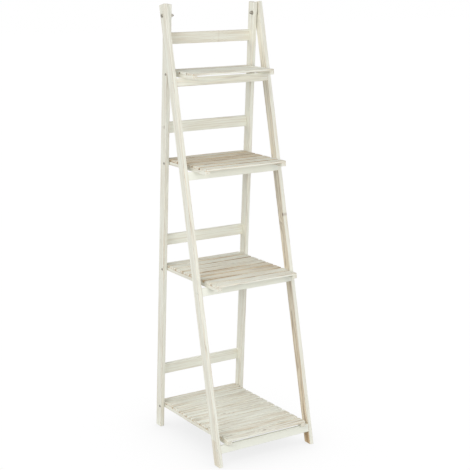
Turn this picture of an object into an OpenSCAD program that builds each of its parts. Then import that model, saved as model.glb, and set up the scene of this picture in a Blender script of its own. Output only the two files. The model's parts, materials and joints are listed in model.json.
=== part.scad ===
// Folding plant ladder stand in whitewashed pine. Two leaning frames are bolted together at
// the top, and four slatted shelves hang on screws between the rear uprights and rest on
// the front rails. Millimetres, +Z up, front towards -Y, origin on the floor under the
// middle of the stand. The stand is drawn open, as it is used.

/* [Overall] */
// Width over the outer faces of the two front legs
stand_w = 400; // [360:5:460]
// Height of the main bolts above the floor
pivot_h = 1515; // [1480:5:1540]
// Lean of the front frame from upright, in degrees
front_lean = 12.5; // [11.5:0.5:14]
// Lean of the rear frame from upright, in degrees
rear_lean = 3.45; // [2.5:0.05:4.5]
// Room between the inner face of a front leg and the outer face of a rear upright
frame_gap = 3; // [2.5:0.5:5]

/* [Legs and uprights] */
// Width of a leg or upright, seen from the front
bar_w = 15; // [14:1:18]
// Depth of a leg or upright, seen from the side
bar_d = 33; // [30:1:36]
// Length of a leg or upright above the main bolts
top_over = 37.5; // [25:0.5:60]
// Distance of the bolts and shelf screws behind the front face of the rear uprights
upright_set_back = 7.5; // [7:0.5:9]
// Distance of the front frame's front face ahead of the main bolts
leg_set_forward = 20.5; // [20:0.5:22]
// Bevel along the long edges of the legs and uprights
bar_bevel = 1.2; // [0.4:0.2:2]

/* [Rails] */
// Height of a front rail, measured along the leg
front_rail_h = 28; // [20:1:32]
// Height of a rear rail, measured along the upright
rear_rail_h = 39; // [28:1:44]
// Thickness of every rail
rail_t = 11; // [9:1:11]
// Heights of the rear rails' middles above the floor, from the top one down
rear_rail_mids = [1436, 1126, 717, 220]; // [200:1:1450]
// Bevel along the edges of the rails
rail_bevel = 0.8; // [0.2:0.2:1.4]

/* [Shelves] */
// Heights of the shelf tops above the floor, from the top shelf down
shelf_tops = [1328, 1015, 626, 93]; // [90:1:1340]
// Number of slats in each shelf, from the top shelf down
slat_counts = [4, 6, 8, 10]; // [2:1:10]
// Width of a slat, front to back
slat_w = 40; // [34:1:42]
// Thickness of a slat
slat_t = 7; // [6:0.5:8]
// Open gap between neighbouring slats
slat_gap = 7.9; // [6:0.1:9]
// Reach of a shelf behind its shelf screws
rear_reach = 30; // [26:1:34]
// Room between the end of a shelf and the inner face of a rear upright
shelf_gap = 2; // [1.5:0.5:4]
// Width of a shelf batten, seen from the front
batten_w = 18; // [16:1:24]
// Height of a shelf batten
batten_h = 12; // [11:0.5:13]
// Bevel along the edges of slats and battens
slat_bevel = 0.7; // [0.2:0.1:1]

/* [Hardware] */
// Diameter of the main bolts
bolt_d = 6; // [5:1:8]
// Length of a main bolt under its head
bolt_l = 45; // [44:1:50]
// Diameter of a shelf screw
shelf_screw_d = 4.5; // [4:0.5:5]
// Diameter of a rail screw
rail_screw_d = 3.5; // [3:0.5:4]
// Length of a rail screw
rail_screw_l = 40; // [30:5:50]

/* [Hidden] */
$fn = 48;
shelves = [0 : len(shelf_tops) - 1];
sides = ["left", "right"];
play = 0.05;          // radial room of a pin or screw in its hole
clear = 0.3;          // room between faces that move past each other
past = 1;             // length by which a cut passes the face that it opens

// Frames: a frame's own axes sit at the main bolts, with Z along its legs or uprights
leg_x = stand_w / 2;
upright_x = leg_x - bar_w - frame_gap;
upright_in = upright_x - bar_w;
leg_front = -leg_set_forward;
leg_mid = leg_front + bar_d / 2;
upright_front = -upright_set_back;
upright_mid = upright_front + bar_d / 2;
upright_back = upright_front + bar_d;
foot_front = leg_set_forward / cos(front_lean) + pivot_h * tan(front_lean);
foot_back = upright_back / cos(rear_lean) + pivot_h * tan(rear_lean);
pivot_y = (foot_front - foot_back) / 2;
bar_reach = pivot_h / cos(front_lean) + bar_d;

// Shelves
shelf_x = upright_in - shelf_gap;
pitch = slat_w + slat_gap;
function shelf_z(n) = shelf_tops[n] - slat_t - batten_h / 2;
function shelf_y(n) = pivot_y + (pivot_h - shelf_z(n)) * tan(rear_lean);
function shelf_rear(n) = shelf_y(n) + rear_reach;
function slat_y(n, i) = shelf_rear(n) - slat_w - (i - 1) * pitch;
function shelf_front(n) = slat_y(n, slat_counts[n]);

// Places of the rails and screws along the two frames, measured from the main bolts
function up_front(z) = (z - pivot_h + leg_front * sin(front_lean)) / cos(front_lean);
function up_rear(z, y) = (z - pivot_h - y * sin(rear_lean)) / cos(rear_lean);
rear_rail_y = upright_back - rail_t / 2;
front_rail_y = leg_front + rail_t / 2;
function rear_rail_at(n) = up_rear(rear_rail_mids[n], rear_rail_y);
function front_rail_at(n) =
    up_front(shelf_z(n) - batten_h / 2 - clear) - front_rail_h / 2;
function shelf_screw_at(n) = up_rear(shelf_z(n), 0);

// Hardware
bolt_head_d = 13;
bolt_head_h = 3;
socket_d = 4.6;
socket_h = 2;
spacer_d = 16;
spacer_t = frame_gap - 0.4;
washer_d = 14;
washer_t = 1.6;
nut_d = 11.5;
nut_t = 5;
shelf_head_d = 9;
shelf_head_h = 1.7;
shelf_screw_l = bar_w + shelf_gap + batten_w - 3;
rail_head_d = 7.6;
rail_head_h = 2.2;
screw_tip = 4;
recess_l = 4.2;
recess_w = 0.9;
recess_h = 1.1;
brad_d = 1.6;
brad_l = 15.5;
brad_head_d = 2.8;
brad_head_h = 0.6;
brad_x = shelf_x - batten_w / 2;

whitewash = "#e9e4d6";
whitewash_shade = "#ddd6c6";
steel = "#736e66";

// Places

module in_front_frame() {
    translate([0, pivot_y, pivot_h]) rotate([-front_lean, 0, 0]) children();
}

module in_rear_frame() {
    translate([0, pivot_y, pivot_h]) rotate([rear_lean, 0, 0]) children();
}

// The right-hand side is drawn, and the left one is its mirror image
module on_side(side) {
    if (side == "right") children();
    else mirror([1, 0, 0]) children();
}

module on_both_sides() {
    for (side = sides) on_side(side) children();
}

// Points a shape that stands on Z inwards along -X, starting from the given place
module inwards_from(x, y, z) {
    translate([x, y, z]) rotate([0, -90, 0]) children();
}

// Shapes shared by several pieces

module bevelled(w, d, bevel) {
    x = w / 2;
    y = d / 2;
    polygon([
        [-x + bevel, -y], [x - bevel, -y], [x, -y + bevel], [x, y - bevel],
        [x - bevel, y], [-x + bevel, y], [-x, y - bevel], [-x, -y + bevel]
    ]);
}

// Straight piece along X, with bevelled long edges
module lath(length, depth, height, bevel) {
    rotate([0, 90, 0])
        linear_extrude(length, center = true)
            bevelled(height, depth, bevel);
}

// Leg or upright, longer than it has to be below, before its foot is cut level
module bar(x, y) {
    translate([x, y, -bar_reach])
        linear_extrude(bar_reach + top_over)
            bevelled(bar_w, bar_d, bar_bevel);
}

// Everything below the floor
module floor_cut() {
    translate([-stand_w, -pivot_h, -pivot_h]) cube([2 * stand_w, 2 * pivot_h, pivot_h]);
}

module cross_recess() {
    for (turn = [0, 90])
        rotate(turn)
            translate([-recess_l / 2, -recess_w / 2, -past])
                cube([recess_l, recess_w, recess_h + past]);
}

// Countersunk wood screw, its head flush at Z = 0 and its tip towards +Z
module countersunk(length, d, room = 0) {
    r = d / 2 + room;
    head_r = rail_head_d / 2 + room;
    rotate_extrude()
        polygon([[0, 0], [head_r, 0], [r, rail_head_h], [r, length - screw_tip], [0, length]]);
}

module rail_screw() {
    difference() {
        countersunk(rail_screw_l, rail_screw_d);
        cross_recess();
    }
}

module rail_screw_hole() {
    countersunk(rail_screw_l + play, rail_screw_d, play);
    translate([0, 0, -past]) cylinder(h = past, d = rail_head_d + 2 * play);
}

// Screw that a shelf turns on: a flat head, a plain shank and a short point
module shelf_screw() {
    r = shelf_screw_d / 2;
    head_r = shelf_head_d / 2;
    difference() {
        rotate_extrude()
            polygon([
                [0, -shelf_head_h], [head_r - 1, -shelf_head_h], [head_r, 0.8 - shelf_head_h],
                [head_r, 0], [r, 0], [r, shelf_screw_l - screw_tip], [0, shelf_screw_l]
            ]);
        translate([0, 0, -shelf_head_h]) cross_recess();
    }
}

module round_hole(d, length) {
    translate([0, 0, -past]) cylinder(h = length + past, d = d + 2 * play);
}

// Rear frame

module rear_upright(side) {
    color(whitewash)
        on_side(side)
            difference() {
                in_rear_frame()
                    difference() {
                        bar(upright_in + bar_w / 2, upright_mid);
                        inwards_from(upright_x, 0, 0) round_hole(bolt_d, bar_w + past);
                        for (n = shelves)
                            inwards_from(upright_x, 0, shelf_screw_at(n))
                                round_hole(shelf_screw_d, bar_w + past);
                        for (n = shelves)
                            inwards_from(upright_x, rear_rail_y, rear_rail_at(n))
                                rail_screw_hole();
                    }
                floor_cut();
            }
}

module rear_rail(n) {
    color(whitewash_shade)
        in_rear_frame()
            difference() {
                translate([0, rear_rail_y, rear_rail_at(n)])
                    lath(2 * upright_in, rail_t, rear_rail_h, rail_bevel);
                on_both_sides()
                    inwards_from(upright_x, rear_rail_y, rear_rail_at(n)) rail_screw_hole();
            }
}

module rear_rail_screws() {
    color(steel)
        in_rear_frame()
            for (n = shelves)
                on_both_sides()
                    inwards_from(upright_x, rear_rail_y, rear_rail_at(n)) rail_screw();
}

// Front frame

module front_leg(side) {
    color(whitewash)
        on_side(side)
            difference() {
                in_front_frame()
                    difference() {
                        bar(leg_x - bar_w / 2, leg_mid);
                        inwards_from(leg_x, 0, 0) round_hole(bolt_d, bar_w + past);
                        for (n = shelves)
                            inwards_from(leg_x, front_rail_y, front_rail_at(n))
                                rail_screw_hole();
                    }
                floor_cut();
            }
}

module front_rail(n) {
    color(whitewash_shade)
        in_front_frame()
            difference() {
                translate([0, front_rail_y, front_rail_at(n)])
                    lath(2 * (leg_x - bar_w), rail_t, front_rail_h, rail_bevel);
                on_both_sides()
                    inwards_from(leg_x, front_rail_y, front_rail_at(n)) rail_screw_hole();
            }
}

module front_rail_screws() {
    color(steel)
        in_front_frame()
            for (n = shelves)
                on_both_sides()
                    inwards_from(leg_x, front_rail_y, front_rail_at(n)) rail_screw();
}

// Main bolts, from the head outside a leg to the nut inside an upright

module pivot_bolts() {
    r = bolt_d / 2;
    head_r = bolt_head_d / 2;
    color(steel)
        in_rear_frame()
            on_both_sides()
                inwards_from(leg_x + clear, 0, 0)
                    difference() {
                        rotate_extrude()
                            polygon([
                                [0, -bolt_head_h], [head_r - 1.2, -bolt_head_h],
                                [head_r, 1.2 - bolt_head_h], [head_r, 0], [r, 0],
                                [r, bolt_l - 1], [r - 1, bolt_l], [0, bolt_l]
                            ]);
                        translate([0, 0, -bolt_head_h - past])
                            cylinder(h = socket_h + past, d = socket_d, $fn = 6);
                    }
}

// Ring along the bolt, its outer face at the given distance from the middle of the stand
module bolt_ring(x, d, t, sides_n) {
    inwards_from(x, 0, 0)
        difference() {
            cylinder(h = t, d = d, $fn = sides_n);
            round_hole(bolt_d, t + past);
        }
}

module pivot_spacers() {
    color(steel)
        in_rear_frame() on_both_sides() bolt_ring(upright_x + spacer_t, spacer_d, spacer_t, $fn);
}

module pivot_washers() {
    color(steel)
        in_rear_frame() on_both_sides() bolt_ring(upright_in, washer_d, washer_t, $fn);
}

module pivot_nuts() {
    color(steel)
        in_rear_frame() on_both_sides() bolt_ring(upright_in - washer_t, nut_d, nut_t, 6);
}

// Shelves

// Runs its children at each nail of one slat, with Z = 0 on the slat's top
module at_nails(n, i) {
    for (x = [-brad_x, brad_x])
        translate([x, slat_y(n, i) + slat_w / 2, shelf_tops[n]]) children();
}

module nail(room = 0) {
    translate([0, 0, -brad_l - room]) cylinder(h = brad_l + room, d = brad_d + 2 * room);
    translate([0, 0, -brad_head_h - room])
        cylinder(h = brad_head_h + room, d = brad_head_d + 2 * room);
}

module nail_hole() {
    nail(play);
    cylinder(h = past, d = brad_head_d + 2 * play);
}

module shelf_batten(n, side) {
    length = shelf_rear(n) - shelf_front(n);
    color(whitewash_shade)
        difference() {
            on_side(side)
                difference() {
                    translate([shelf_x - batten_w / 2, shelf_front(n) + length / 2, shelf_z(n)])
                        rotate([90, 0, 0])
                            linear_extrude(length, center = true)
                                bevelled(batten_w, batten_h, slat_bevel);
                    inwards_from(upright_x + clear, shelf_y(n), shelf_z(n))
                        round_hole(shelf_screw_d, shelf_screw_l + play);
                }
            for (i = [1 : slat_counts[n]]) at_nails(n, i) nail_hole();
        }
}

module shelf_slat(n, i) {
    color(whitewash)
        difference() {
            translate([0, slat_y(n, i) + slat_w / 2, shelf_tops[n] - slat_t / 2])
                lath(2 * shelf_x, slat_w, slat_t, slat_bevel);
            at_nails(n, i) nail_hole();
        }
}

module shelf_pivot_screws(n) {
    color(steel)
        on_both_sides() inwards_from(upright_x + clear, shelf_y(n), shelf_z(n)) shelf_screw();
}

module shelf_nails(n) {
    color(steel)
        for (i = [1 : slat_counts[n]]) at_nails(n, i) nail();
}

for (side = sides) {
    rear_upright(side);
    front_leg(side);
}
for (n = shelves) {
    rear_rail(n);
    front_rail(n);
    for (side = sides)
        shelf_batten(n, side);
    for (i = [1 : slat_counts[n]])
        shelf_slat(n, i);
    shelf_pivot_screws(n);
    shelf_nails(n);
}
pivot_bolts();
pivot_spacers();
pivot_washers();
pivot_nuts();
rear_rail_screws();
front_rail_screws();
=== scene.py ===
"""Folding plant ladder stand in whitewashed softwood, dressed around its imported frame.

Every piece of wood is planed, eased and bored at the size that the frame gives it, and carries
its own grain. Lengths are in metres, and the stand's front faces -Y.
"""

import json
import math
import random

import bpy
import numpy as np
from mathutils import Euler, Matrix, Vector


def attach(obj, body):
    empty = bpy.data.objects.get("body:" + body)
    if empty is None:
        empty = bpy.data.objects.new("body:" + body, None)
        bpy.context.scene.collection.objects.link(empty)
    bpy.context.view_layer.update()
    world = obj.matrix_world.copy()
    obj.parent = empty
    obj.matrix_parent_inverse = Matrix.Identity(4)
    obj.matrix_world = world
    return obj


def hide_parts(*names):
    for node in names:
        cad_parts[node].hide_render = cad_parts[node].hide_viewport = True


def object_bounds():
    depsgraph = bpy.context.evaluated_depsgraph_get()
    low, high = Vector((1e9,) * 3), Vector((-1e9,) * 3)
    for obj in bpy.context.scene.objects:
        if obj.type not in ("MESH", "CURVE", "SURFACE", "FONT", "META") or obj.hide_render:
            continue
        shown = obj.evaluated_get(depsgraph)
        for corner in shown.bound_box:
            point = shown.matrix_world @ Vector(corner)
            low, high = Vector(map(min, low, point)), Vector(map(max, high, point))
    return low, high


bl_info = {
    "name": "Plant Ladder Stand",
    "version": (1, 0, 0),
    "blender": (4, 5, 0),
    "location": "View3D > Sidebar > Plant Ladder",
    "description": "Folding plant ladder stand with four slatted shelves, in whitewashed softwood",
    "category": "Add Mesh",
}

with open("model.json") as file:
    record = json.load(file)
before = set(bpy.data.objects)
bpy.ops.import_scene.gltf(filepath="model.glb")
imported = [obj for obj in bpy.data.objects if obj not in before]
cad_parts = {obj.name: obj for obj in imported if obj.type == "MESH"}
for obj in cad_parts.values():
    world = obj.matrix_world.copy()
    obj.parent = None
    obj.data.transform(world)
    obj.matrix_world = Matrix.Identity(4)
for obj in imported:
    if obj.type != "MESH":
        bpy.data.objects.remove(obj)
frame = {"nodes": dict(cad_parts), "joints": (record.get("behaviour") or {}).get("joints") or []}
CAD_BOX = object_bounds()

MM = 0.001
SEED = 11
SIDES = ("left", "right")
SIGN = {"left": -1, "right": 1}
SHELVES = (1, 2, 3, 4)
X, Y, Z = 0, 1, 2
AXES = (Vector((1, 0, 0)), Vector((0, 1, 0)), Vector((0, 0, 1)))
HOME = Matrix()            # the stand's own axes, as a place

# Modelling
PARALLEL = 0.995           # cosine above which two directions count as one
EASE_SEGMENTS = 3
SMOOTH_ANGLE = math.radians(35)
ROUND_SIDES = 32           # sides of a bore, and of what is turned round
PAST = 1 * MM              # length by which a cut passes the face that it opens
FACE_WEIGHT = 100          # how much a large face sways the shading of the eased edge beside it
INWARDS = {"left": Euler((0, math.pi / 2, 0)).to_matrix().to_4x4(),
           "right": Euler((0, -math.pi / 2, 0)).to_matrix().to_4x4()}

# Bores, with the room that a drill leaves round a bolt or screw, and the dents of the nails
BOLT_BORE = 3.05 * MM
SHELF_SCREW_BORE = 2.3 * MM
BATTEN_BORE_DEPTH = 15.5 * MM
RAIL_SCREW_BORE = 1.8 * MM
SINK_RADIUS = 4.1 * MM
SINK_DEPTH = 2.6 * MM
DENT_RADIUS = 1.7 * MM
DENT_DEPTH = 0.66 * MM

# Main bolts and nuts, as (radius, distance from the outer end) in mm
BOLT_TURNED = ((3.6, 0), (5.2, 0.25), (6.1, 0.8), (6.5, 1.7), (6.5, 3), (3, 3), (3, 28),
               (2.45, 28.4), (2.45, 47.2), (1.9, 48))
SOCKET = ((2.3, -1), (2.3, 2), (0.4, 2.6))
THREAD_ROOT = 2.4
THREAD_CREST = 3
THREAD_START = 28.4
THREAD_LENGTH = 18.5
NUT_BLANK = ((5.75, -1), (5.75, 6))
NUT_BARREL = ((4.85, 0), (5.8, 0.55), (5.8, 4.45), (4.85, 5))
NUT_BORE = ((3.6, -1), (3.6, 0), (3.04, 0.5), (3.04, 4.5), (3.6, 5), (3.6, 6))
HEXAGON = 6

# Cover of the stain: 0 is bare wood and 1 is white, and each of these adds to it or takes from it;
# some of them are painted shade or painted light, as each says
EDGE_WEAR = 0.2            # lacking on the eased edges, where it was rubbed off
SLAT_GAP_PAINTED_SHADE = {1: 0.4, 2: 0.8, 3: 0.4, 4: -0.2}  # painted shade on each shelf's slats, on their eased edges and on the fronts that look into the gaps; below 0 a painted highlight
INNER_FACE_STAIN_AND_PAINTED_SHADE = 0.08       # lacking on the inner faces of the front legs: thinner stain, and painted shade between the frames
BATTEN_TOP_PAINTED_SHADE = 0.9       # painted shade on the tops of the battens, seen down the gaps between the slats
SLAT_UNEVEN = 0.05         # how much one slat differs from the next
RAIL_PAINTED_LIGHT = {"front": 0.28, "rear": 0.07}  # painted light on the rails, against the shade of the shelves over them
RAIL_TOP_PAINTED_LIGHT = 0.3     # and more painted light on their tops, which lie in the shade of the slats
FADES = {"front_leg_right": 0.28}  # cover lost by an inner face on each metre towards the foot, which darkens it downwards
SLAT_STREAKS = 2.5         # how much it changes from streak to streak, on a slat
BAR_STREAKS = 1.0          # and on any other piece
FIBRE_SHARE = 0.7          # how much it changes from fibre to fibre
LATE_SHARE = -0.1          # what the hard wood of a growth ring takes from it
KNOT_SHARE = -0.42         # and what a knot takes
END_SHARE = -0.1           # and what the end grain takes, which drinks it in
END_EDGE = 0.3             # cosine to the grain above which an edge is an end's
END_GRAIN = 0.7            # cosine to the grain above which a face shows end grain

# Grain of the wood, in mm, the first number of three being along it
HEART_FROM = (0, -30, 22)  # nearest place of the tree's heart, beside and under a board
HEART_SPAN = (0, 60, 40)   # and how far from there it may lie
NOISE_APART = (50, 50, 50)  # how far apart the noise of two boards is read, at most
BEND_RATE = (0.004, 0.03, 0.03)  # waves of the trunk on each mm
BEND_WIDTH = 18            # how far they push the growth rings
LATE_STARTS = (0.35, 0.85)  # shares of a ring at which the hard wood begins and is darkest
LATE_ENDS = 0.9            # and at which it begins to end
KNOT_SWELL = 1.6           # rings that a knot pushes aside
KNOT_EDGE = (0.4, 1.3)     # shares of a knot's radius at which it begins to pale and ends
KNOT_REACH = 6             # and how far it bends the rings
FIBRE_RATE = (0.02, 1, 1)  # fibres on each mm
STREAK_RATE = (0.006, 0.16, 0.16)  # streaks on each mm
KNOT_EVERY = 340           # mm of trunk between two whorls of branches
KNOT_SPREAD = 400          # mm over which the knots lie across the trunk
KNOT_STRETCH = 1.4         # length of a knot over its width
NO_KNOT = 45               # mm to the side, off the board
CHANCE_STEP = 97           # parts the knots of one board from those of the next
FIBRE_RELIEF = 0.15 * MM   # how high the fibres stand
MIX_A, MIX_B, MIX_RESULT = 6, 7, 2  # sockets of a Mix node that mixes colours

# Knots that show: mm along the piece and across its wider side, from its middle
KNOTS = {
    "rear_rail_1": (38, 0),
    "rear_upright_left": (15, NO_KNOT),
    "front_leg_right": (36, -13),
    "shelf_4_slat_10": (-5, -8),
    "shelf_4_slat_6": (-40, 8),
}
SPIKE_KNOTS = ("rear_rail_1",)  # sawn along the branch, which crosses the wide side as a stripe

# Stain that some pieces lack, as the bare wood shows more on them, with painted shade on slats
# that lie under the shelf above; where below 0, painted light on shelf 1's slats, which the lamps
# reach only at a graze
PIECE_STAIN_AND_PAINTED_SHADE = {
    "front_leg_right": 0.28,
    "front_rail_1": 0.34,
    "rear_rail_1": 0.2,
    "shelf_1_slat_1": 0.08,
    "shelf_1_slat_2": -0.3,
    "shelf_1_slat_3": -0.25,
    "shelf_2_slat_1": 0.3,
    "shelf_2_slat_2": 0.36,
    "shelf_2_slat_3": 0.42,
    "shelf_2_slat_4": 0.24,
    "shelf_2_slat_5": 0.22,
    "shelf_3_slat_4": 0.08,
    "shelf_3_slat_5": 0.3,
    "shelf_3_slat_6": 0.3,
    "shelf_4_slat_1": 0.12,
    "shelf_4_slat_9": 0.12,
}

# Darker feet, on the faces that look to the left: how high the darker part goes, and the stain it
# lacks
DARKER_FEET = {"front_leg_left": (90 * MM, 0.2), "front_leg_right": (50 * MM, 0.6)}

# Stage
FLOOR_BOUNCE = "#F7F7F7"   # share of its light that the floor throws back
FLOOR_GLOW = 0.32          # light that the floor sends up, besides what it throws back
FLOOR_LEVELS = (0.79, 1.005)  # what is seen of the floor: wholly covered, and open to the sky
SHADOW_REACH = 0.4         # how far the stand's soft shadow spreads on the floor
LEFT_FROM = (-1, -0.05, 1)  # the ways to the two far lamps
RIGHT_FROM = (1, 0, 0.84)
LAMP_WIDTH = math.radians(70)  # how wide they look from the stand
SENSOR_WIDTH = 36          # mm

# Softboxes round the stand, all at one distance: bearing from its front to its left in
# degrees, height in metres, and share of the softboxes' light
SOFTBOXES = ((10, 1.45, 0.54), (55, 1.6, 0.28), (-30, 0.5, 0.18))
SOFTBOX_DISTANCE = 2.6
SOFTBOX_SIZE = (1.2, 0.9)
SOFTBOX_AIM = Vector((0, 0, 0.75))

# Where the frames turn: the main bolts, and each shelf's screws
JOINTS = {joint["name"]: joint for joint in frame["joints"]}
PIVOT = Vector(JOINTS["front_frame_fold"]["pos_m"])
SHELF_PIVOTS = {n: Vector(JOINTS[f"shelf_{n}_fold"]["pos_m"]) for n in SHELVES}
LOWEST_SHELF = SHELF_PIVOTS[SHELVES[-1]]
REAR_LEAN = math.atan2(LOWEST_SHELF.y - PIVOT.y, PIVOT.z - LOWEST_SHELF.z)
FRONT_LEAN = math.radians(JOINTS["front_frame_fold"]["range_deg"][1]) - REAR_LEAN

# Each frame's own axes: Z along its legs, X across, origin at the main bolts
REAR_FRAME = Matrix.Translation(PIVOT) @ Matrix.Rotation(REAR_LEAN, 4, "X")
FRONT_FRAME = Matrix.Translation(PIVOT) @ Matrix.Rotation(-FRONT_LEAN, 4, "X")


def linear(hex_colour, alpha=1.0):
    """Turns an sRGB hex colour into the linear values that shaders and lamps take."""
    def channel(start):
        value = int(hex_colour[start:start + 2], 16) / 255
        return value / 12.92 if value <= 0.04045 else ((value + 0.055) / 1.055) ** 2.4
    return (channel(1), channel(3), channel(5), alpha)


# Settings that a user would change

class LadderWood(bpy.types.PropertyGroup):
    edge_round: bpy.props.FloatProperty(
        name="Edge Rounding", description="Radius that the long edges are eased to",
        default=1.2 * MM, min=0.2 * MM, max=3 * MM, unit="LENGTH", subtype="DISTANCE")
    slat_round: bpy.props.FloatProperty(
        name="Slat Edge Rounding", description="Radius that the slats' edges are eased to",
        default=0.9 * MM, min=0.2 * MM, max=2 * MM, unit="LENGTH", subtype="DISTANCE")
    corner_round: bpy.props.FloatProperty(
        name="Slat Corner Rounding", description="Radius of the slats' corners, seen from above",
        default=4 * MM, min=1 * MM, max=8 * MM, unit="LENGTH", subtype="DISTANCE")
    ring_width: bpy.props.FloatProperty(
        name="Growth Ring Width", description="Distance between two growth rings",
        default=4.5 * MM, min=1 * MM, max=12 * MM, unit="LENGTH", subtype="DISTANCE")
    knot_size: bpy.props.FloatProperty(
        name="Knot Radius", description="Radius of a knot's dark heart",
        default=5.5 * MM, min=1 * MM, max=12 * MM, unit="LENGTH", subtype="DISTANCE")
    wash: bpy.props.FloatProperty(
        name="Wash Cover", description="How much of the wood the white stain hides",
        default=0.9, min=0.0, max=1.0, subtype="FACTOR")
    wash_colour: bpy.props.FloatVectorProperty(
        name="Wash Colour", description="Colour of the white stain",
        default=linear("#EBECE1"), min=0, max=1, size=4, subtype="COLOR")
    early_colour: bpy.props.FloatVectorProperty(
        name="Early Wood Colour", description="Colour of the pale, soft part of a growth ring",
        default=linear("#D2BC9A"), min=0, max=1, size=4, subtype="COLOR")
    late_colour: bpy.props.FloatVectorProperty(
        name="Late Wood Colour", description="Colour of the dark, hard part of a growth ring",
        default=linear("#9E8160"), min=0, max=1, size=4, subtype="COLOR")
    knot_colour: bpy.props.FloatVectorProperty(
        name="Knot Colour", description="Colour of a knot's heart under the stain",
        default=linear("#928270"), min=0, max=1, size=4, subtype="COLOR")


class LadderHardware(bpy.types.PropertyGroup):
    steel_colour: bpy.props.FloatVectorProperty(
        name="Steel Colour", description="Colour of the passivated bolts and screws",
        default=linear("#A8A398"), min=0, max=1, size=4, subtype="COLOR")
    thread_pitch: bpy.props.FloatProperty(
        name="Thread Pitch", description="Distance between two turns of the bolts' thread",
        default=1 * MM, min=0.5 * MM, max=2 * MM, unit="LENGTH", subtype="DISTANCE")


class LadderStage(bpy.types.PropertyGroup):
    camera_place: bpy.props.FloatVectorProperty(
        name="Camera Place", description="Where the camera stands",
        default=(-2.2818, -3.5428, 1.7381), size=3, unit="LENGTH", subtype="TRANSLATION")
    camera_heading: bpy.props.FloatProperty(
        name="Camera Heading", description="Turn of the camera about the vertical",
        default=math.radians(-32.97), unit="ROTATION", subtype="ANGLE")
    camera_dip: bpy.props.FloatProperty(
        name="Camera Dip", description="Angle by which the camera looks below level",
        default=math.radians(13.19), unit="ROTATION", subtype="ANGLE")
    lens: bpy.props.FloatProperty(
        name="Lens", description="Focal length on a 36 mm wide sensor",
        default=93.8, unit="CAMERA")
    floor_width: bpy.props.FloatProperty(
        name="Floor Width", description="Width of the square floor",
        default=40.0, unit="LENGTH", subtype="DISTANCE")
    sky_light: bpy.props.FloatProperty(
        name="Sky Light", description="Strength of the even light from all round",
        default=0.26, min=0, max=2)
    left_light: bpy.props.FloatProperty(
        name="Left Light", description="Level of the wide, far lamp on the left",
        default=0.53, min=0, max=2)
    right_light: bpy.props.FloatProperty(
        name="Right Light", description="Level of the wide, far lamp on the right",
        default=0.1, min=0, max=2)
    softbox_light: bpy.props.FloatProperty(
        name="Softbox Light", description="Level of the softboxes in front of the stand together",
        default=0.61, min=0, max=2)


# Modelling helpers

def deselect():
    bpy.ops.object.select_all(action="DESELECT")


def activate(piece):
    deselect()
    piece.select_set(True)
    bpy.context.view_layer.objects.active = piece


def put(piece, place):
    """Moves a piece to a place, and keeps that place in its mesh."""
    activate(piece)
    piece.matrix_world = place
    bpy.ops.object.transform_apply(location=True, rotation=True, scale=True)


def read_points(mesh, place):
    """The points of a mesh in the axes of a place."""
    points = np.empty(len(mesh.vertices) * 3)
    mesh.vertices.foreach_get("co", points)
    inverse = np.array(place.inverted())
    return points.reshape(-1, 3) @ inverse[:3, :3].T + inverse[:3, 3]


def read_normals(mesh, place):
    """The directions that the faces of a mesh look in, in the axes of a place."""
    normals = np.empty(len(mesh.polygons) * 3)
    mesh.polygons.foreach_get("normal", normals)
    return normals.reshape(-1, 3) @ np.array(place.inverted())[:3, :3].T


def local_box(node, place):
    """A frame node's lowest and highest corners in the axes of a place."""
    points = read_points(frame["nodes"][node].data, place)
    return Vector(points.min(0)), Vector(points.max(0))


def add_block(low, high, place):
    """Adds a cube that spans two corners given in the axes of a place."""
    deselect()
    bpy.ops.mesh.primitive_cube_add(size=1)
    block = bpy.context.object
    middle = Matrix.Translation((low + high) / 2)
    put(block, place @ middle @ Matrix.Diagonal((*(high - low), 1)))
    return block


def cut_level(piece, height, **options):
    """Cuts through a piece at a height; the options say what goes and what closes the cut."""
    activate(piece)
    bpy.ops.object.mode_set(mode="EDIT")
    bpy.ops.mesh.select_all(action="SELECT")
    bpy.ops.mesh.bisect(plane_co=(0, 0, height), plane_no=(0, 0, 1), **options)
    bpy.ops.object.mode_set(mode="OBJECT")


def every_edge(direction):
    return True


def runs_along(axis):
    """Tells which edges run along an axis."""
    return lambda direction: abs(direction.dot(axis)) > PARALLEL


def runs_across(axis):
    """Tells which edges run square to an axis."""
    return lambda direction: abs(direction.dot(axis)) < 1 - PARALLEL


def ease_edges(piece, radius, chosen=every_edge):
    """Rounds the edges of a piece as sandpaper does: all, or those with a chosen direction."""
    activate(piece)
    bpy.ops.object.mode_set(mode="EDIT")
    bpy.ops.mesh.select_mode(type="EDGE")
    bpy.ops.mesh.select_all(action="DESELECT")
    bpy.ops.object.mode_set(mode="OBJECT")
    points = piece.data.vertices
    for edge in piece.data.edges:
        a, b = edge.vertices
        edge.select = chosen((points[b].co - points[a].co).normalized())
    bpy.ops.object.mode_set(mode="EDIT")
    bpy.ops.mesh.bevel(offset=radius, segments=EASE_SEGMENTS, profile=0.5, affect="EDGES")
    bpy.ops.object.mode_set(mode="OBJECT")


def turn_blank(stations, sides):
    """Draws a round blank out along Z from its first (radius, height) to its last."""
    deselect()
    radius, height = stations[0]
    bpy.ops.mesh.primitive_circle_add(
        radius=radius, vertices=sides, fill_type="NGON", location=(0, 0, height))
    blank = bpy.context.object
    bpy.ops.object.transform_apply(location=True)
    bpy.ops.object.mode_set(mode="EDIT")
    bpy.ops.mesh.select_all(action="SELECT")
    for new_radius, new_height in stations[1:]:
        bpy.ops.mesh.extrude_region_move(
            TRANSFORM_OT_translate={"value": (0, 0, new_height - height)})
        factor = new_radius / radius
        bpy.ops.transform.resize(value=(factor, factor, 1), center_override=(0, 0, new_height))
        radius, height = new_radius, new_height
    bpy.ops.mesh.select_all(action="SELECT")
    bpy.ops.mesh.normals_make_consistent(inside=False)
    bpy.ops.object.mode_set(mode="OBJECT")
    return blank


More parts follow.
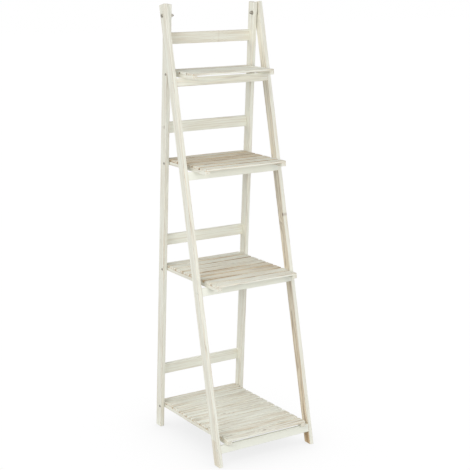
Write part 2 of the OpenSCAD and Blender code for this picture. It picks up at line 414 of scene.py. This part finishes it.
def join(pieces):
    """Joins pieces into the first one."""
    activate(pieces[0])
    for piece in pieces:
        piece.select_set(True)
    if len(pieces) > 1:
        bpy.ops.object.join()
    return pieces[0]


def carve(piece, cutters, operation="DIFFERENCE"):
    """Cuts shapes out of a piece, or keeps only what lies inside them."""
    cutter = join(cutters)
    activate(piece)
    bpy.ops.object.modifier_add(type="BOOLEAN")
    cut = piece.modifiers[-1]
    cut.operation = operation
    cut.solver = "EXACT"
    cut.object = cutter
    bpy.ops.object.modifier_apply(modifier=cut.name)
    bpy.data.objects.remove(cutter)


def smooth(piece):
    """Shades curves smooth and keeps the flats flat."""
    activate(piece)
    bpy.ops.object.shade_smooth_by_angle(angle=SMOOTH_ANGLE)
    bpy.ops.object.modifier_add(type="WEIGHTED_NORMAL")
    weighted = piece.modifiers[-1]
    weighted.keep_sharp = True
    weighted.weight = FACE_WEIGHT
    bpy.ops.object.modifier_apply(modifier=weighted.name)


def copy_to(piece, place):
    """Copies a piece, with a mesh of its own, to another place."""
    activate(piece)
    bpy.ops.object.duplicate(linked=False)
    twin = bpy.context.object
    put(twin, place)
    return twin


def finish_piece(piece, node, body, material):
    """Names a piece after the node that it stands for, and hands it to the node's body."""
    piece.name = node + "_piece"
    piece.data.name = piece.name
    piece.data.materials.clear()
    piece.data.materials.append(material)
    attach(piece, body)
    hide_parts(node)


# Materials

def add(tree, kind, inputs=None, **settings):
    """Adds a shader node with its settings, and sets or links its inputs."""
    node = tree.nodes.new("ShaderNode" + kind)
    for setting, value in settings.items():
        setattr(node, setting, value)
    for socket, value in (inputs or {}).items():
        if isinstance(value, bpy.types.Node):
            value = value.outputs[0]
        if isinstance(value, bpy.types.NodeSocket):
            tree.links.new(value, node.inputs[socket])
        else:
            node.inputs[socket].default_value = value
    return node


def start_material(name):
    """Starts a material, and returns it with its tree and its Principled shader."""
    material = bpy.data.materials.new(name)
    material.use_nodes = True
    tree = material.node_tree
    return material, tree, tree.nodes["Principled BSDF"]


def drawn_out(tree, place, rate, shift, detail):
    """Noise that is drawn out along the board, and read elsewhere for each board."""
    stretched = add(tree, "VectorMath", {0: place, 1: rate, 2: shift}, operation="MULTIPLY_ADD")
    return add(tree, "TexNoise", {"Vector": stretched, "Scale": 1, "Detail": detail})


def draw_knots(tree, along, across, chance, radius):
    """Knots: one in each stretch of the trunk, and all but the first anywhere across the board.

    Returns 1 inside a knot, and 1 where the growth rings swell round it.
    """
    stretch = add(tree, "Math", {0: along, 1: KNOT_EVERY}, operation="DIVIDE")
    number = add(tree, "Math", {0: stretch}, operation="ROUND")
    from_middle = add(tree, "Math", {0: number, 1: -KNOT_EVERY, 2: along},
                      operation="MULTIPLY_ADD")
    first = add(tree, "Math", {0: number, 1: 0, 2: 0.5}, operation="COMPARE")
    draw = add(tree, "Math", {0: chance, 1: CHANCE_STEP, 2: number}, operation="MULTIPLY_ADD")
    aside = add(tree, "TexWhiteNoise", {"W": draw}, noise_dimensions="1D")
    spread = add(tree, "MapRange", {"Value": first, "To Min": KNOT_SPREAD, "To Max": 0})
    shift = add(tree, "Math", {0: aside, 1: 0.5}, operation="SUBTRACT")
    sideways = add(tree, "Math", {0: shift, 1: spread, 2: across}, operation="MULTIPLY_ADD")
    shortened = add(tree, "Math", {0: from_middle, 1: KNOT_STRETCH}, operation="DIVIDE")
    from_knot = add(tree, "CombineXYZ", {0: shortened, 1: sideways})
    distance = add(tree, "VectorMath", {0: from_knot}, operation="LENGTH").outputs["Value"]
    pales, ends = KNOT_EDGE
    knot = add(tree, "MapRange", {"Value": distance, "From Min": pales * radius,
               "From Max": ends * radius, "To Min": 1, "To Max": 0},
               interpolation_type="SMOOTHSTEP")
    swell = add(tree, "MapRange", {"Value": distance, "From Min": radius,
                "From Max": KNOT_REACH * radius, "To Min": 1, "To Max": 0},
                interpolation_type="SMOOTHSTEP")
    return knot, swell


def draw_rings(tree, place, cut, shift, swell, ring):
    """Growth rings round the heart of the tree, as the share of hard, dark late wood."""
    heart = add(tree, "VectorMath", {0: cut, 1: HEART_SPAN, 2: HEART_FROM},
                operation="MULTIPLY_ADD")
    cross = add(tree, "VectorMath", {0: place, 1: (0, 1, 1), 2: heart}, operation="MULTIPLY_ADD")
    radius = add(tree, "VectorMath", {0: cross}, operation="LENGTH").outputs["Value"]
    bend = drawn_out(tree, place, BEND_RATE, shift, 2)
    bent = add(tree, "Math", {0: bend, 1: BEND_WIDTH, 2: radius}, operation="MULTIPLY_ADD")
    round_knot = add(tree, "Math", {0: swell, 1: KNOT_SWELL * ring, 2: bent},
                     operation="MULTIPLY_ADD")
    turns = add(tree, "Math", {0: round_knot, 1: ring}, operation="DIVIDE")
    phase = add(tree, "Math", {0: turns}, operation="FRACT")
    begins, darkest = LATE_STARTS
    rise = add(tree, "MapRange", {"Value": phase, "From Min": begins, "From Max": darkest},
               interpolation_type="SMOOTHSTEP")
    fall = add(tree, "MapRange", {"Value": phase, "From Min": LATE_ENDS, "From Max": 1,
               "To Min": 1, "To Max": 0})
    return add(tree, "Math", {0: rise, 1: fall}, operation="MULTIPLY")


def whitewashed_softwood():
    """Planed softwood under a thin white stain, shared by every piece of wood.

    To the eye it is matt and creamy, with the rings, streaks and knots showing faintly through,
    and more of the bare wood along the rubbed edges and in the sawn ends. The cover that each face
    stores also holds painted shade and painted light on some pieces, as on the slats' edges.
    """
    if "whitewashed_softwood" in bpy.data.materials:
        return bpy.data.materials["whitewashed_softwood"]
    wood = bpy.context.scene.ladder_wood
    material, tree, shader = start_material("whitewashed_softwood")

    grain, cut, face = (add(tree, "Attribute", attribute_name=name).outputs["Vector"]
                        for name in ("grain", "cut", "face"))
    fade = add(tree, "Attribute", attribute_name="fade").outputs["Fac"]
    place = add(tree, "VectorMath", {0: grain, 3: 1 / MM}, operation="SCALE")
    along, across, _ = add(tree, "SeparateXYZ", {0: place}).outputs
    chance = add(tree, "SeparateXYZ", {0: cut}).outputs[X]
    cover, end_grain, streakiness = add(tree, "SeparateXYZ", {0: face}).outputs
    shift = add(tree, "VectorMath", {0: cut, 1: NOISE_APART}, operation="MULTIPLY")

    knot, swell = draw_knots(tree, along, across, chance, wood.knot_size / MM)
    late = draw_rings(tree, place, cut, shift, swell, wood.ring_width / MM)
    # Fibres 1 mm wide and 50 mm long, drawn as coarse as they need to show, and wider streaks
    fibre = drawn_out(tree, place, FIBRE_RATE, shift, 3)
    streak = drawn_out(tree, place, STREAK_RATE, shift, 3)

    bare = add(tree, "Mix", {0: late, MIX_A: wood.early_colour, MIX_B: wood.late_colour},
               data_type="RGBA").outputs[MIX_RESULT]
    knotted = add(tree, "Mix", {0: knot, MIX_A: bare, MIX_B: wood.knot_colour},
                  data_type="RGBA").outputs[MIX_RESULT]

    # The stain skins over soft wood, and shows less on hard wood, knots and end grain
    uneven = add(tree, "Math", {0: streak, 1: 0.5}, operation="SUBTRACT")
    for what, share in ((uneven, streakiness), (fibre, FIBRE_SHARE), (late, LATE_SHARE),
                        (knot, KNOT_SHARE), (along, fade), (end_grain, END_SHARE)):
        cover = add(tree, "Math", {0: what, 1: share, 2: cover}, operation="MULTIPLY_ADD")
    cover = add(tree, "Math", {0: cover, 1: FIBRE_SHARE / 2}, operation="SUBTRACT",
                use_clamp=True)
    colour = add(tree, "Mix", {0: cover, MIX_A: knotted, MIX_B: wood.wash_colour},
                 data_type="RGBA").outputs[MIX_RESULT]
    tree.links.new(colour, shader.inputs["Base Color"])

    dullness = add(tree, "MapRange", {"Value": fibre, "To Min": 0.55, "To Max": 0.75})
    tree.links.new(dullness.outputs[0], shader.inputs["Roughness"])
    shader.inputs["Specular IOR Level"].default_value = 0.3
    relief = add(tree, "Math", {0: late, 1: 0.5, 2: fibre}, operation="MULTIPLY_ADD")
    bump = add(tree, "Bump", {"Height": relief, "Distance": FIBRE_RELIEF, "Strength": 0.5})
    tree.links.new(bump.outputs[0], shader.inputs["Normal"])
    return material


def stained_steel():
    """The rail screws, driven before the stand was stained, with a skin of the stain on them.

    To the eye the heads are a dull off-white, hardly darker than the wood round them.
    """
    if "stained_steel" in bpy.data.materials:
        return bpy.data.materials["stained_steel"]
    material, tree, shader = start_material("stained_steel")
    place = add(tree, "TexCoord").outputs["Object"]
    # Bare spots where the driver rubbed the stain off, 2 mm apart
    rubbed = add(tree, "TexNoise", {"Vector": place, "Scale": 1 / (2 * MM), "Detail": 2})
    wear_and_painted_shade = add(tree, "MapRange", {"Value": rubbed, "From Min": 0.5, "From Max": 0.7})
    colour = add(tree, "Mix", {0: wear_and_painted_shade, MIX_A: bpy.context.scene.ladder_wood.wash_colour,
                               MIX_B: bpy.context.scene.ladder_hardware.steel_colour},
                 data_type="RGBA").outputs[MIX_RESULT]
    tree.links.new(colour, shader.inputs["Base Color"])
    tree.links.new(wear_and_painted_shade.outputs[0], shader.inputs["Metallic"])
    shader.inputs["Roughness"].default_value = 0.6
    return material


def zinc_plated_steel():
    """Zinc-plated, passivated steel, cold-headed and tumbled, of the bolts, screws and nails.

    To the eye it is a dull grey metal with a cloudy skin and soft highlights.
    """
    if "zinc_plated_steel_skin" in bpy.data.materials:
        return bpy.data.materials["zinc_plated_steel_skin"]
    hardware = bpy.context.scene.ladder_hardware
    material, tree, shader = start_material("zinc_plated_steel_skin")
    place = add(tree, "TexCoord").outputs["Object"]
    # Clouds of the plating 3 mm across, and pits of 0.4 mm
    clouds = add(tree, "TexNoise", {"Vector": place, "Scale": 1 / (3 * MM), "Detail": 3})
    pits = add(tree, "TexNoise", {"Vector": place, "Scale": 1 / (0.4 * MM), "Detail": 2})
    dark = tuple(0.72 * channel for channel in hardware.steel_colour[:3]) + (1,)
    colour = add(tree, "Mix", {0: clouds, MIX_A: dark, MIX_B: hardware.steel_colour},
                 data_type="RGBA").outputs[MIX_RESULT]
    tree.links.new(colour, shader.inputs["Base Color"])
    shader.inputs["Metallic"].default_value = 1
    rough = add(tree, "MapRange", {"Value": clouds, "To Min": 0.34, "To Max": 0.52})
    tree.links.new(rough.outputs[0], shader.inputs["Roughness"])
    bump = add(tree, "Bump", {"Height": pits, "Distance": 0.03 * MM, "Strength": 0.4})
    tree.links.new(bump.outputs[0], shader.inputs["Normal"])
    return material


# Wood

def store(mesh, name, kind, domain, values):
    """Stores a number or a vector for each point or face of a mesh."""
    field = "value" if kind == "FLOAT" else "vector"
    mesh.attributes.new(name, kind, domain).data.foreach_set(field, values.ravel())


def mark_points(piece, node, place, along):
    """Stores where a piece of wood lies in its tree.

    grain: place in the piece's own axes, its length first, measured from its knot
    cut: where in the tree the piece was sawn, a random number for each axis
    """
    rng = random.Random(f"{SEED} {node}")
    low, high = local_box(node, place)
    half = (high - low) / 2
    sides = [axis for axis in (X, Y, Z) if axis != along]
    if (half[sides[0]] < half[sides[1]]) != (node in SPIKE_KNOTS):
        sides.reverse()
    knot_along, knot_aside = KNOTS.get(node, (rng.uniform(-1, 1) * half[along] / MM, NO_KNOT))
    origin = (low + high) / 2
    origin[along] += knot_along * MM
    origin[sides[0]] += knot_aside * MM

    mesh = piece.data
    grain = (read_points(mesh, place) - np.array(origin))[:, (along, *sides)]
    store(mesh, "grain", "FLOAT_VECTOR", "POINT", grain)
    cut = np.tile([rng.random(), rng.random(), rng.random()], (len(mesh.vertices), 1))
    store(mesh, "cut", "FLOAT_VECTOR", "POINT", cut)


def mark_faces(piece, node, place, along, cover, other_covers):
    """Stores how the stain covers each face of a piece of wood.

    face: cover of the white stain with any painted shade or light, 1 on end grain, and how streaky
    the stain is
    fade: cover that is lost on each millimetre towards the foot
    """
    mesh = piece.data
    normals = read_normals(mesh, place)
    face = np.zeros((len(mesh.polygons), 3))
    fade = np.zeros(len(mesh.polygons))
    # slats take painted shade on their eased edges, other pieces real wear
    edge_wear_and_painted_slat_shade = SLAT_GAP_PAINTED_SHADE[int(node.split("_")[1])] if "slat" in node else EDGE_WEAR
    eased = (np.abs(normals).max(1) < PARALLEL) & (np.abs(normals[:, along]) < END_EDGE)
    face[:, 0] = np.where(eased, cover - edge_wear_and_painted_slat_shade, cover)
    for direction, other_cover in other_covers:
        looks_there = normals @ np.array(direction) > PARALLEL
        face[looks_there, 0] = other_cover
        fade[looks_there] = FADES.get(node, 0) * MM
    if node in DARKER_FEET:
        height, lack = DARKER_FEET[node]
        low_down = np.array([polygon.center.z < height for polygon in mesh.polygons])
        face[low_down & (normals[:, X] < -PARALLEL), 0] -= lack
    face[:, 1] = np.abs(normals[:, along]) > END_GRAIN
    face[:, 2] = SLAT_STREAKS if "slat" in node else BAR_STREAKS
    store(mesh, "fade", "FLOAT", "FACE", fade)
    store(mesh, "face", "FLOAT_VECTOR", "FACE", face)


def finish_wood(piece, node, body, place, along, cover, other_covers=()):
    """Stains a piece of wood that runs along an axis of a place, and hands it to its body.

    other_covers lists (direction, cover) for the faces that look in that direction.
    """
    mark_points(piece, node, place, along)
    mark_faces(piece, node, place, along, cover, other_covers)
    finish_piece(piece, node, body, whitewashed_softwood())


def drill(node, side, place, at, stations):
    """A bit that enters a leg, upright or batten from its outer face at a point of its axes."""
    low, high = local_box(node, place)
    face = high.x if side == "right" else low.x
    bit = turn_blank(stations, ROUND_SIDES)
    put(bit, place @ Matrix.Translation((face, at.y, at.z)) @ INWARDS[side])
    return bit


def rail_middles(kind, place):
    """Middles of the four rails of a frame in the frame's axes."""
    boxes = [local_box(f"{kind}_rail_{n}", place) for n in SHELVES]
    return [(low + high) / 2 for low, high in boxes]


def make_bar(kind, side, place, body, shelf_screws):
    """Makes a leg or upright: sawn level at the foot, eased, bored and countersunk."""
    wood = bpy.context.scene.ladder_wood
    node = f"{kind}_{side}"
    rails = rail_middles(kind.split("_")[0], place)
    low, high = local_box(node, place)
    bar = add_block(low, high, place)
    cut_level(bar, CAD_BOX[0].z, use_fill=True, clear_inner=True)
    ease_edges(bar, wood.edge_round)
    through = high.x - low.x + PAST
    bolt_bit = ((BOLT_BORE, -PAST), (BOLT_BORE, through))
    shelf_bit = ((SHELF_SCREW_BORE, -PAST), (SHELF_SCREW_BORE, through))
    rail_bit = ((SINK_RADIUS, -PAST), (SINK_RADIUS, 0), (RAIL_SCREW_BORE, SINK_DEPTH),
                (RAIL_SCREW_BORE, through))
    carve(bar, [drill(node, side, place, Vector(), bolt_bit)]
          + [drill(node, side, place, at, shelf_bit) for at in shelf_screws]
          + [drill(node, side, place, at, rail_bit) for at in rails])
    smooth(bar)
    if node in DARKER_FEET:
        cut_level(bar, DARKER_FEET[node][0])  # the darker part gets faces of its own
    # the inner face takes thinner stain and painted shade
    inner = wood.wash - PIECE_STAIN_AND_PAINTED_SHADE.get(node, 0) - (INNER_FACE_STAIN_AND_PAINTED_SHADE if kind == "front_leg" else 0)
    finish_wood(bar, node, body, place, Z, wood.wash, [(-SIGN[side] * AXES[X], inner)])


def make_rail(kind, n, place, body):
    """Makes a rail, its long edges eased and its ends sawn square to butt on the bars."""
    wood = bpy.context.scene.ladder_wood
    node = f"{kind}_rail_{n}"
    rail = add_block(*local_box(node, place), place)
    ease_edges(rail, wood.slat_round, runs_along(AXES[X]))
    smooth(rail)
    # painted light on the rails, and more on their tops, less any stain that the rail lacks
    cover = wood.wash + RAIL_PAINTED_LIGHT[kind] - PIECE_STAIN_AND_PAINTED_SHADE.get(node, 0)
    finish_wood(rail, node, body, place, X, cover, [(AXES[Z], cover + RAIL_TOP_PAINTED_LIGHT)])


def make_slat():
    """Makes one slat at the origin, its corners and edges rounded, with the dents of its nails."""
    wood = bpy.context.scene.ladder_wood
    low, high = local_box("shelf_1_slat_1", HOME)
    half = (high - low) / 2
    slat = add_block(-half, half, HOME)
    ease_edges(slat, wood.corner_round, runs_along(AXES[Z]))
    ease_edges(slat, wood.slat_round, runs_across(AXES[Z]))
    batten_low, batten_high = local_box("shelf_1_batten_right", HOME)
    nail_x = (batten_low.x + batten_high.x) / 2
    dents = []
    for sign in SIGN.values():
        dent = turn_blank(((DENT_RADIUS, half.z - DENT_DEPTH), (DENT_RADIUS, half.z + PAST)),
                          ROUND_SIDES)
        put(dent, Matrix.Translation((sign * nail_x, 0, 0)))
        dents.append(dent)
    carve(slat, dents)
    smooth(slat)
    return slat


def lay_slats(pattern, n):
    """Lays a copy of the slat in each of a shelf's places; all but the front slat get painted
    shade on their fronts, which look into the gaps.
    """
    wood = bpy.context.scene.ladder_wood
    slats = sorted(name for name in frame["nodes"] if f"shelf_{n}_slat_" in name)
    front = min(slats, key=lambda node: local_box(node, HOME)[0].y)
    for node in slats:
        low, high = local_box(node, HOME)
        slat = copy_to(pattern, Matrix.Translation((low + high) / 2))
        uneven = random.Random(node).uniform(-SLAT_UNEVEN, SLAT_UNEVEN)
        # the slat's own cover, less thinner stain and painted shade; below 0 painted light is
        # added
        cover = wood.wash + uneven - PIECE_STAIN_AND_PAINTED_SHADE.get(node, 0)
        # painted shade on the fronts that look into the gaps between the slats
        wear_and_painted_shade = [(-AXES[Y], cover - SLAT_GAP_PAINTED_SHADE[n])] if node != front else []
        finish_wood(slat, node, f"shelf_{n}", HOME, X, cover, wear_and_painted_shade)


class LADDER_OT_rear_uprights(bpy.types.Operator):
    """Makes the two uprights of the rear frame, bored for the bolts, shelves and rails"""
    bl_idname = "plant_ladder.rear_uprights"
    bl_label = "Rear Uprights"

    def execute(self, context):
        back = REAR_FRAME.inverted()
        shelf_screws = [back @ SHELF_PIVOTS[n] for n in SHELVES]
        for side in SIDES:
            make_bar("rear_upright", side, REAR_FRAME, "rear_frame", shelf_screws)
        return {"FINISHED"}


class LADDER_OT_rear_rails(bpy.types.Operator):
    """Makes the four rails between the rear uprights"""
    bl_idname = "plant_ladder.rear_rails"
    bl_label = "Rear Rails"

    def execute(self, context):
        for n in SHELVES:
            make_rail("rear", n, REAR_FRAME, "rear_frame")
        return {"FINISHED"}


class LADDER_OT_front_legs(bpy.types.Operator):
    """Makes the two legs of the front frame, bored for the bolts and rails"""
    bl_idname = "plant_ladder.front_legs"
    bl_label = "Front Legs"

    def execute(self, context):
        for side in SIDES:
            make_bar("front_leg", side, FRONT_FRAME, "front_frame", [])
        return {"FINISHED"}


class LADDER_OT_front_rails(bpy.types.Operator):
    """Makes the four rails that the shelves' front ends rest on"""
    bl_idname = "plant_ladder.front_rails"
    bl_label = "Front Rails"

    def execute(self, context):
        for n in SHELVES:
            make_rail("front", n, FRONT_FRAME, "front_frame")
        return {"FINISHED"}


class LADDER_OT_shelf_battens(bpy.types.Operator):
    """Makes the battens under the slats, bored for the screws that the shelves turn on"""
    bl_idname = "plant_ladder.shelf_battens"
    bl_label = "Shelf Battens"

    def execute(self, context):
        wood = context.scene.ladder_wood
        bit = ((SHELF_SCREW_BORE, -PAST), (SHELF_SCREW_BORE, BATTEN_BORE_DEPTH))
        for n in SHELVES:
            place = Matrix.Translation(SHELF_PIVOTS[n])
            for side in SIDES:
                node = f"shelf_{n}_batten_{side}"
                batten = add_block(*local_box(node, place), place)
                ease_edges(batten, wood.slat_round)
                carve(batten, [drill(node, side, place, Vector(), bit)])
                smooth(batten)
                # painted shade on the battens' tops, seen down the slat gaps
                finish_wood(batten, node, f"shelf_{n}", place, Y, wood.wash,
                            [(AXES[Z], wood.wash - BATTEN_TOP_PAINTED_SHADE)])
        return {"FINISHED"}


class LADDER_OT_shelf_slats(bpy.types.Operator):
    """Makes one slat with the dents of its nails, and lays its copies on the shelves"""
    bl_idname = "plant_ladder.shelf_slats"
    bl_label = "Shelf Slats"

    def execute(self, context):
        pattern = make_slat()
        for n in SHELVES:
            lay_slats(pattern, n)
        bpy.data.objects.remove(pattern)
        return {"FINISHED"}


# Hardware

def in_metres(stations):
    return [(radius * MM, distance * MM) for radius, distance in stations]


def thread_ridge(pitch):
    """Winds a triangular ridge along Z, as a thread is rolled on a bolt."""
    deselect()
    bpy.ops.mesh.primitive_circle_add(radius=MM, vertices=3)
    ridge = bpy.context.object
    start = THREAD_START * MM
    corners = ((THREAD_ROOT * MM, start), (THREAD_CREST * MM, start + pitch / 2),
               (THREAD_ROOT * MM, start + pitch))
    for point, (radius, height) in zip(ridge.data.vertices, corners):
        point.co = (radius, 0, height)
    bpy.ops.object.modifier_add(type="SCREW")
    winding = ridge.modifiers[-1]
    winding.screw_offset = pitch
    winding.iterations = int(THREAD_LENGTH * MM / pitch)
    winding.steps = winding.render_steps = ROUND_SIDES
    winding.use_smooth_shade = False
    bpy.ops.object.modifier_apply(modifier=winding.name)
    bpy.ops.object.mode_set(mode="EDIT")
    bpy.ops.mesh.select_all(action="SELECT")
    bpy.ops.mesh.fill_holes(sides=3)
    bpy.ops.mesh.select_all(action="SELECT")
    bpy.ops.mesh.normals_make_consistent(inside=False)
    bpy.ops.object.mode_set(mode="OBJECT")
    return ridge


def fit_pair(pattern, node):
    """Fits a copy of a bolt or nut on each side, with Z inwards from its outer end."""
    outer = local_box(node, REAR_FRAME)[1].x
    places = [REAR_FRAME @ Matrix.Translation((SIGN[side] * outer, 0, 0)) @ INWARDS[side]
              for side in SIDES]
    pair = join([copy_to(pattern, place) for place in places])
    bpy.data.objects.remove(pattern)
    smooth(pair)
    finish_piece(pair, node, "rear_frame", zinc_plated_steel())


class LADDER_OT_pivot_bolts(bpy.types.Operator):
    """Makes the two main bolts: a rounded head with a hexagon socket, a shank and a thread"""
    bl_idname = "plant_ladder.pivot_bolts"
    bl_label = "Main Bolts"

    def execute(self, context):
        pitch = context.scene.ladder_hardware.thread_pitch
        bolt = turn_blank(in_metres(BOLT_TURNED), ROUND_SIDES)
        carve(bolt, [turn_blank(in_metres(SOCKET), HEXAGON)])
        fit_pair(join([bolt, thread_ridge(pitch)]), "pivot_bolts")
        return {"FINISHED"}


class LADDER_OT_pivot_nuts(bpy.types.Operator):
    """Makes the two hexagon nuts of the main bolts, chamfered at both ends"""
    bl_idname = "plant_ladder.pivot_nuts"
    bl_label = "Main Nuts"

    def execute(self, context):
        nut = turn_blank(in_metres(NUT_BLANK), HEXAGON)
        put(nut, Matrix.Rotation(math.pi / HEXAGON, 4, "Z"))
        carve(nut, [turn_blank(in_metres(NUT_BARREL), ROUND_SIDES)], "INTERSECT")
        carve(nut, [turn_blank(in_metres(NUT_BORE), ROUND_SIDES)])
        fit_pair(nut, "pivot_nuts")
        return {"FINISHED"}


class LADDER_OT_small_hardware(bpy.types.Operator):
    """Plates the frame's own spacers, washers, screws and nails"""
    bl_idname = "plant_ladder.small_hardware"
    bl_label = "Screws, Washers and Nails"

    def execute(self, context):
        plated, stained = zinc_plated_steel(), stained_steel()
        for name, node in frame["nodes"].items():
            if name.endswith(("spacers", "washers", "screws", "nails")):
                for slot in node.material_slots:
                    slot.material = stained if "rail_screws" in name else plated
        return {"FINISHED"}


# Stage

def set_lamp(lamp, name, back, energy, unlit):
    """Turns a lamp's back in a direction, and has it light all but what one collection holds."""
    lamp.name = name
    lamp.rotation_euler = back.to_track_quat("Z", "Y").to_euler()
    lamp.data.energy = energy
    lamp.light_linking.receiver_collection = unlit


def add_far_lamp(name, towards, level, unlit):
    """Adds a far, wide lamp that lights a white face turned to it at a level of its white."""
    deselect()
    bpy.ops.object.light_add(type="SUN")
    lamp = bpy.context.object
    lamp.data.angle = LAMP_WIDTH
    set_lamp(lamp, name, Vector(towards), level * math.pi, unlit)


def add_softbox(name, bearing, height, level, unlit):
    """Adds a softbox in front of the stand, at a bearing from its front to its left."""
    place = Vector((-math.sin(bearing) * SOFTBOX_DISTANCE,
                    -math.cos(bearing) * SOFTBOX_DISTANCE, height))
    back = place - SOFTBOX_AIM
    deselect()
    bpy.ops.object.light_add(type="AREA", location=place)
    lamp = bpy.context.object
    lamp.data.shape = "RECTANGLE"
    lamp.data.size, lamp.data.size_y = SOFTBOX_SIZE
    set_lamp(lamp, name, back, level * math.pi ** 2 * back.length_squared, unlit)


def seen_ray(tree):
    """1 for rays that show the background itself, 0 for those that carry its light."""
    rays = add(tree, "LightPath")
    mirrored = add(tree, "Math", {0: rays.outputs["Is Camera Ray"],
                                  1: rays.outputs["Is Glossy Ray"]}, operation="MAXIMUM")
    return add(tree, "Math", {0: mirrored, 1: rays.outputs["Is Transmission Ray"]},
               operation="MAXIMUM")


def set_camera(stage):
    """Stands the camera at the photo's place and angle, with its lens."""
    deselect()
    bpy.ops.object.camera_add(
        location=stage.camera_place,
        rotation=(math.pi / 2 - stage.camera_dip, 0, stage.camera_heading))
    camera = bpy.context.object
    camera.data.sensor_width = SENSOR_WIDTH
    camera.data.lens = stage.lens
    bpy.context.scene.camera = camera


def hang_backdrop(stage):
    """A backdrop that is seen as white, and that lights the stand evenly from all round."""
    world = bpy.data.worlds.new("white_backdrop")
    bpy.context.scene.world = world
    world.use_nodes = True
    tree = world.node_tree
    sky = tree.nodes["Background"]
    sky.inputs["Color"].default_value = (1, 1, 1, 1)
    strength = add(tree, "MapRange", {"Value": seen_ray(tree), "To Min": stage.sky_light,
                                      "To Max": 1})
    tree.links.new(strength.outputs[0], sky.inputs["Strength"])


def white_paper_floor():
    """White paper that glows a little, and throws a good part of its light back up at the stand.

    To the eye it is a plain white with a painted soft shadow, darker where the stand keeps the sky
    off it.
    """
    material, tree, shader = start_material("white_paper_floor")
    tree.nodes.remove(shader)
    # painted soft shadow: what is seen of the floor dims where the stand keeps the sky off it
    covered = add(tree, "AmbientOcclusion", {"Distance": SHADOW_REACH})
    level = add(tree, "MapRange", {"Value": covered.outputs["AO"], "To Min": FLOOR_LEVELS[0],
                                   "To Max": FLOOR_LEVELS[1]})
    shown = add(tree, "Emission", {"Strength": level})
    paper = add(tree, "BsdfDiffuse", {"Color": linear(FLOOR_BOUNCE)})
    glow = add(tree, "Emission", {"Strength": FLOOR_GLOW})
    lighting = add(tree, "AddShader", {0: paper, 1: glow})
    both = add(tree, "MixShader", {0: seen_ray(tree), 1: lighting, 2: shown})
    tree.links.new(both.outputs[0], tree.nodes["Material Output"].inputs["Surface"])
    return material


class LADDER_OT_stage(bpy.types.Operator):
    """Sets up the camera, the white floor and backdrop, and the soft studio light"""
    bl_idname = "plant_ladder.stage"
    bl_label = "Stage"

    def execute(self, context):
        stage = context.scene.ladder_stage
        context.scene.view_settings.view_transform = "Standard"
        set_camera(stage)
        hang_backdrop(stage)

        deselect()
        bpy.ops.mesh.primitive_plane_add(size=stage.floor_width, location=(0, 0, CAD_BOX[0].z))
        floor = context.object
        floor.name = "studio_floor"
        floor.data.materials.append(white_paper_floor())

        # The lamps leave the floor to the sky's even light; the soft shadow that shows on it is
        # painted from how much the stand covers it
        unlit = bpy.data.collections.new("unlit_by_lamps")
        unlit.objects.link(floor)
        unlit.collection_objects[0].light_linking.link_state = "EXCLUDE"
        add_far_lamp("left_lamp", LEFT_FROM, stage.left_light, unlit)
        add_far_lamp("right_lamp", RIGHT_FROM, stage.right_light, unlit)
        for number, (bearing, height, share) in enumerate(SOFTBOXES, 1):
            add_softbox(f"softbox_{number}", math.radians(bearing), height,
                        share * stage.softbox_light, unlit)
        return {"FINISHED"}


class LADDER_PT_sidebar(bpy.types.Panel):
    bl_idname = "LADDER_PT_sidebar"
    bl_label = "Plant Ladder Stand"
    bl_space_type = "VIEW_3D"
    bl_region_type = "UI"
    bl_category = "Plant Ladder"

    def draw(self, context):
        layout = self.layout
        for settings in (context.scene.ladder_wood, context.scene.ladder_hardware,
                         context.scene.ladder_stage):
            column = layout.column(align=True)
            for name in settings.bl_rna.properties.keys():
                if name not in ("rna_type", "name"):
                    column.prop(settings, name)
        for operator in OPERATORS:
            layout.operator(operator.bl_idname)


OPERATORS = (
    LADDER_OT_stage,
    LADDER_OT_rear_uprights,
    LADDER_OT_rear_rails,
    LADDER_OT_front_legs,
    LADDER_OT_front_rails,
    LADDER_OT_shelf_battens,
    LADDER_OT_shelf_slats,
    LADDER_OT_pivot_bolts,
    LADDER_OT_pivot_nuts,
    LADDER_OT_small_hardware,
)
CLASSES = (LadderWood, LadderHardware, LadderStage, *OPERATORS, LADDER_PT_sidebar)


def register():
    for cls in CLASSES:
        bpy.utils.register_class(cls)
    bpy.types.Scene.ladder_wood = bpy.props.PointerProperty(type=LadderWood)
    bpy.types.Scene.ladder_hardware = bpy.props.PointerProperty(type=LadderHardware)
    bpy.types.Scene.ladder_stage = bpy.props.PointerProperty(type=LadderStage)


def unregister():
    del bpy.types.Scene.ladder_stage
    del bpy.types.Scene.ladder_hardware
    del bpy.types.Scene.ladder_wood
    for cls in reversed(CLASSES):
        bpy.utils.unregister_class(cls)


def main():
    register()
    for operator in OPERATORS:
        name = operator.bl_idname.split(".")[1]
        getattr(bpy.ops.plant_ladder, name)()


if __name__ == "__main__":
    main()
